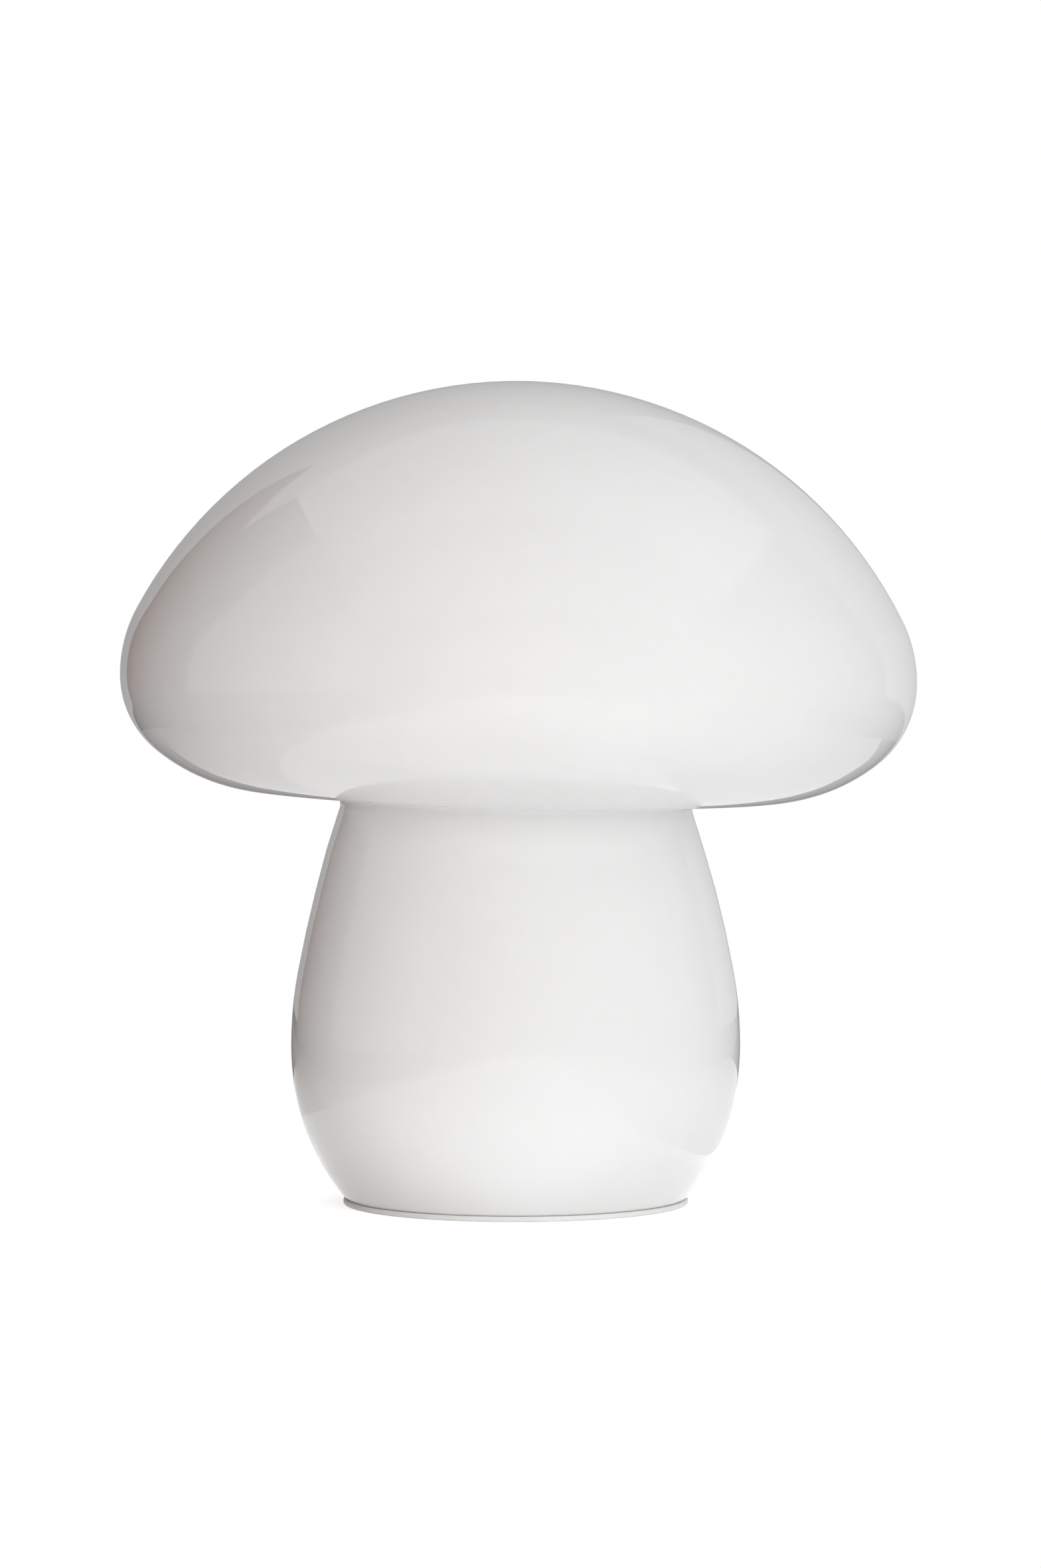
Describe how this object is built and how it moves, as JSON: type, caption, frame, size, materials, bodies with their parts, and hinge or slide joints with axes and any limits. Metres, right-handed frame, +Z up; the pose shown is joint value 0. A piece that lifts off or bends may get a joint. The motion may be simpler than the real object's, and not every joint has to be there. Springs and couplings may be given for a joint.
{
  "type": "table lamp",
  "caption": "Mushroom table lamp: a one-piece opal glass cap and stem over a steel base with a lampholder and a screw-in bulb.",
  "frame": {"origin": "middle of the base, on the table", "axes": "+Z up along the lamp's axis; -Y is the front; the cord inlet faces +Y"},
  "size_m": [0.3019, 0.302, 0.3103],
  "materials": {
    "opal_glass": "glossy opal white glass, fire polished",
    "soft_trim": "translucent white silicone",
    "white_steel": "white powder coat on pressed steel",
    "zinc_steel": "bright zinc plate",
    "white_plastic": "fine moulded thermoplastic",
    "insert_plastic": "heatproof moulding",
    "contact_brass": "rolled brass strip",
    "solder_tip": "tinned contact button",
    "black_glass": "black glass insulator",
    "nickel_cap": "nickel plated",
    "driver_board": "printed board with a dark capacitor",
    "clear_glass": "clear blown glass",
    "phosphor": "yellow phosphor coat",
    "wire": "drawn nickel wire"
  },
  "bodies": {
    "base": {"rim_trim": "soft_trim", "base_plate": "white_steel", "bottom_cover": "white_steel", "standoffs": "zinc_steel", "cover_screws": "zinc_steel", "cord_inlet_bush": "white_plastic", "threaded_tube": "zinc_steel", "lock_nut": "zinc_steel", "toothed_washer": "zinc_steel", "seat_washer": "zinc_steel", "holder_cap": "white_plastic", "grub_screw": "zinc_steel", "holder_insert": "insert_plastic", "terminal_screws": "zinc_steel", "centre_contact": "contact_brass", "side_contact": "contact_brass", "holder_shell": "white_plastic"},
    "glass": {"glass_body": "opal_glass"},
    "bulb_tip": {"bulb_tip": "solder_tip"},
    "bulb": {"bulb_insulator": "black_glass", "bulb_screw_cap": "nickel_cap", "bulb_driver": "driver_board", "bulb_envelope": "clear_glass", "bulb_stem": "clear_glass", "bulb_filaments": "phosphor", "bulb_lead_wires": "wire"}
  },
  "joints": [
    {"name": "glass_lift", "type": "slide", "parent": "base", "child": "glass", "axis": [0, 0, 1], "range_m": [0, 0.18]},
    {"name": "bulb_rise", "type": "slide", "parent": "base", "child": "bulb_tip", "axis": [0, 0, 1], "range_m": [0, 0.0182]},
    {"name": "bulb_turn", "type": "hinge", "parent": "bulb_tip", "child": "bulb", "pos_m": [0, 0, 0.049], "axis": [0, 0, 1], "range_deg": [0, 1800]}
  ],
  "couplings": [
    {"joint": "bulb_rise", "follows": "bulb_turn", "m_per_rad": 0.00057757}
  ]
}
